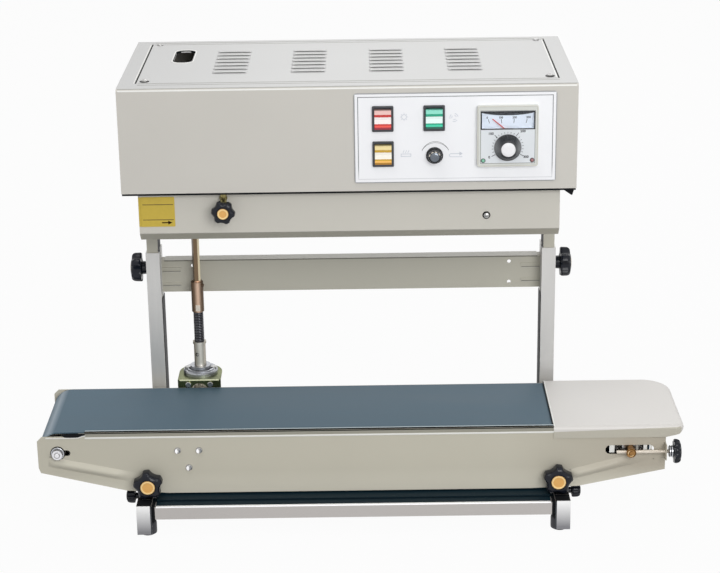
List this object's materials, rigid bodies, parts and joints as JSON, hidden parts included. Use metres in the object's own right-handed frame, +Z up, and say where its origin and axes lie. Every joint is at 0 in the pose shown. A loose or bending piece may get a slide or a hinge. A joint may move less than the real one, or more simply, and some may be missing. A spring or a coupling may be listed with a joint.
{
  "type": "continuous band sealer",
  "caption": "Bench-top continuous band sealer: a sealing head with control panel on telescopic posts above a belt conveyor on a stainless base, for closing upright bags.",
  "frame": {"origin": "middle of the machine's underside, on the ground", "axes": "+X along the bags' travel, to the right as seen from the control panel; +Y from front to back; +Z up"},
  "size_m": [0.8147, 0.377, 0.556],
  "materials": {
    "stainless": "polished",
    "black_plastic": "matt",
    "paint_grey": "powder coat",
    "paint_cover": "powder coat",
    "paint_beam": "powder coat",
    "paint_plate": "powder coat",
    "paint_deck": "powder coat",
    "paint_dark": "black",
    "panel": "satin",
    "red_lens": "translucent",
    "green_lens": "translucent",
    "amber_lens": "translucent",
    "black_gloss": "gloss",
    "beige_plastic": "satin",
    "scale_card": "printed",
    "clear": "clear",
    "red_needle": "matt",
    "label": "printed",
    "brass": "turned",
    "rubber_black": "matt",
    "zinc": "plated",
    "motor_paint": "black",
    "board": "matt",
    "alloy": "machined",
    "ptfe": "coated glass cloth",
    "spring_steel": "oiled",
    "yellow_zinc": "yellow passivated",
    "cast_alloy": "as cast",
    "belt": "matt",
    "steel": "ground"
  },
  "bodies": {
    "stand": {"base_bars": "stainless", "base_feet": "black_plastic", "outer_posts": "stainless", "cross_beam": "paint_beam"},
    "head": {"head_casing": "paint_grey", "top_cover": "paint_grey", "chassis_plate": "paint_grey", "inner_posts": "paint_plate", "lower_cover": "paint_cover", "control_panel": "panel", "rocker_bezels": "black_gloss", "controller_case": "beige_plastic", "controller_face": "scale_card", "meter_window": "clear", "indicator_lenses": "red_lens", "label_plate": "label", "cover_latch_post": "brass", "guide_wedge": "rubber_black", "head_fixings": "zinc", "gear_motor": "motor_paint", "control_board": "board", "fan_frame": "black_plastic", "seal_blocks": "brass", "seal_bands": "ptfe", "timing_belt": "rubber_black"},
    "drive_shaft": {"drive_bar": "brass"},
    "conveyor": {"bearing_housings": "cast_alloy", "bearing_bracket": "yellow_zinc", "conveyor_belt": "belt", "side_plates": "paint_plate", "bed_plate": "steel", "deck_hood": "paint_deck", "carriage_frame": "paint_dark", "conveyor_bolts": "zinc"},
    "lower_drive": {"lower_coupling": "brass", "flex_coil": "spring_steel"},
    "tensioner": {"tension_axle": "steel"},
    "post_knob_left": {"post_knob_left": "black_plastic"},
    "post_knob_right": {"post_knob_right": "black_plastic"},
    "rocker_red": {"rocker_red": "red_lens"},
    "rocker_green": {"rocker_green": "green_lens"},
    "rocker_amber": {"rocker_amber": "amber_lens"},
    "speed_knob": {"speed_knob": "black_gloss"},
    "meter_needle": {"meter_needle": "red_needle"},
    "dial_knob": {"dial_knob": "black_gloss"},
    "cover_knob": {"cover_knob": "black_plastic"},
    "fan_rotor": {"fan_rotor": "black_plastic"},
    "drive_wheel_rear": {"drive_wheel_rear": "steel"},
    "drive_wheel_front": {"drive_wheel_front": "steel"},
    "idler_wheel_rear": {"idler_wheel_rear": "steel"},
    "idler_wheel_front": {"idler_wheel_front": "steel"},
    "shaft_hub": {"shaft_hub": "alloy"},
    "drive_roller": {"drive_roller": "alloy"},
    "end_roller": {"end_roller": "alloy"},
    "tension_roller": {"tension_roller": "alloy"},
    "tension_knob": {"tension_knob": "black_plastic"},
    "carriage_knob_left": {"carriage_knob_left": "black_plastic"},
    "carriage_knob_right": {"carriage_knob_right": "black_plastic"},
    "side_knob_left": {"side_knob_left": "black_plastic"},
    "side_knob_right": {"side_knob_right": "black_plastic"}
  },
  "joints": [
    {"name": "head_lift", "type": "slide", "parent": "stand", "child": "head", "axis": [0, 0, 1], "range_m": [-0.04, 0.05]},
    {"name": "conveyor_depth", "type": "slide", "parent": "stand", "child": "conveyor", "axis": [0, 1, 0], "range_m": [-0.018, 0.015], "deforming": ["flex_coil"]},
    {"name": "post_knob_left_turn", "type": "hinge", "parent": "stand", "child": "post_knob_left", "pos_m": [-0.2789, 0.0435, 0.28], "axis": [-1, 0, 0], "range_deg": [0, 1080]},
    {"name": "carriage_knob_left_turn", "type": "hinge", "parent": "conveyor", "child": "carriage_knob_left", "pos_m": [-0.2683, -0.1525, 0.061], "axis": [0, -1, 0], "range_deg": [0, 1080]},
    {"name": "side_knob_left_turn", "type": "hinge", "parent": "conveyor", "child": "side_knob_left", "pos_m": [-0.2824, -0.1365, 0.033], "axis": [-1, 0, 0], "range_deg": [0, 1080]},
    {"name": "post_knob_right_turn", "type": "hinge", "parent": "stand", "child": "post_knob_right", "pos_m": [0.2591, 0.0435, 0.28], "axis": [1, 0, 0], "range_deg": [0, 1080]},
    {"name": "carriage_knob_right_turn", "type": "hinge", "parent": "conveyor", "child": "carriage_knob_right", "pos_m": [0.2485, -0.1525, 0.061], "axis": [0, -1, 0], "range_deg": [0, 1080]},
    {"name": "side_knob_right_turn", "type": "hinge", "parent": "conveyor", "child": "side_knob_right", "pos_m": [0.2626, -0.1365, 0.033], "axis": [1, 0, 0], "range_deg": [0, 1080]},
    {"name": "rocker_red_tip", "type": "hinge", "parent": "head", "child": "rocker_red", "pos_m": [0.033, -0.089, 0.5136], "axis": [-1, 0, 0], "range_deg": [0, 14]},
    {"name": "rocker_green_tip", "type": "hinge", "parent": "head", "child": "rocker_green", "pos_m": [0.0957, -0.089, 0.5137], "axis": [-1, 0, 0], "range_deg": [0, 14]},
    {"name": "rocker_amber_tip", "type": "hinge", "parent": "head", "child": "rocker_amber", "pos_m": [0.0331, -0.089, 0.4692], "axis": [-1, 0, 0], "range_deg": [0, 14]},
    {"name": "speed_knob_turn", "type": "hinge", "parent": "head", "child": "speed_knob", "pos_m": [0.0961, -0.0915, 0.4665], "axis": [0, -1, 0], "range_deg": [-150, 150]},
    {"name": "dial_knob_turn", "type": "hinge", "parent": "head", "child": "dial_knob", "pos_m": [0.1854, -0.0915, 0.4769], "axis": [0, -1, 0], "range_deg": [-150, 150]},
    {"name": "meter_needle_swing", "type": "hinge", "parent": "head", "child": "meter_needle", "pos_m": [0.1854, -0.096, 0.4965], "axis": [0, 1, 0], "range_deg": [0, 100]},
    {"name": "cover_knob_turn", "type": "hinge", "parent": "head", "child": "cover_knob", "pos_m": [-0.1654, -0.0915, 0.3995], "axis": [0, -1, 0], "range_deg": [0, 1800]},
    {"name": "fan_spin", "type": "hinge", "parent": "head", "child": "fan_rotor", "pos_m": [0.0501, 0.1685, 0.49], "axis": [0, 1, 0], "continuous": true},
    {"name": "drive_spin", "type": "hinge", "parent": "head", "child": "drive_wheel_rear", "pos_m": [0.1351, -0.00125, 0.3795], "axis": [0, 0, 1], "continuous": true},
    {"name": "front_drive_spin", "type": "hinge", "parent": "head", "child": "drive_wheel_front", "pos_m": [0.1351, -0.05375, 0.3795], "axis": [0, 0, 1], "continuous": true},
    {"name": "rear_idler_spin", "type": "hinge", "parent": "head", "child": "idler_wheel_rear", "pos_m": [-0.1549, -0.00125, 0.3795], "axis": [0, 0, 1], "continuous": true},
    {"name": "front_idler_spin", "type": "hinge", "parent": "head", "child": "idler_wheel_front", "pos_m": [-0.1549, -0.05375, 0.3795], "axis": [0, 0, 1], "continuous": true},
    {"name": "hub_spin", "type": "hinge", "parent": "head", "child": "shaft_hub", "pos_m": [-0.2134, 0.0285, 0.4216], "axis": [0, 0, 1], "continuous": true},
    {"name": "shaft_spin", "type": "hinge", "parent": "stand", "child": "drive_shaft", "pos_m": [-0.2134, 0.0285, 0.2655], "axis": [0, 0, 1], "continuous": true},
    {"name": "lower_drive_spin", "type": "hinge", "parent": "conveyor", "child": "lower_drive", "pos_m": [-0.2134, 0.0285, 0.1453], "axis": [0, 0, 1], "continuous": true},
    {"name": "drive_roller_spin", "type": "hinge", "parent": "conveyor", "child": "drive_roller", "pos_m": [-0.2134, -0.0915, 0.1005], "axis": [0, 1, 0], "continuous": true},
    {"name": "end_roller_spin", "type": "hinge", "parent": "conveyor", "child": "end_roller", "pos_m": [-0.3819, -0.0915, 0.1005], "axis": [0, 1, 0], "continuous": true},
    {"name": "tension_slide", "type": "slide", "parent": "conveyor", "child": "tensioner", "axis": [1, 0, 0], "range_m": [-0.012, 0]},
    {"name": "tension_roller_spin", "type": "hinge", "parent": "tensioner", "child": "tension_roller", "pos_m": [0.3399, -0.0915, 0.0955], "axis": [0, 1, 0], "continuous": true},
    {"name": "tension_knob_turn", "type": "hinge", "parent": "conveyor", "child": "tension_knob", "pos_m": [0.3845, -0.1595, 0.0955], "axis": [1, 0, 0], "range_deg": [0, 4320]}
  ],
  "couplings": [
    {"joint": "front_drive_spin", "follows": "drive_spin", "ratio": -1},
    {"joint": "rear_idler_spin", "follows": "drive_spin", "ratio": 1},
    {"joint": "front_idler_spin", "follows": "drive_spin", "ratio": -1},
    {"joint": "hub_spin", "follows": "drive_spin", "ratio": 1},
    {"joint": "shaft_spin", "follows": "drive_spin", "ratio": 1},
    {"joint": "lower_drive_spin", "follows": "drive_spin", "ratio": 1},
    {"joint": "drive_roller_spin", "follows": "drive_spin", "ratio": 1},
    {"joint": "end_roller_spin", "follows": "drive_spin", "ratio": 1},
    {"joint": "tension_roller_spin", "follows": "drive_spin", "ratio": 1},
    {"joint": "tension_knob_turn", "follows": "tension_slide", "rad_per_m": -6283.2}
  ]
}
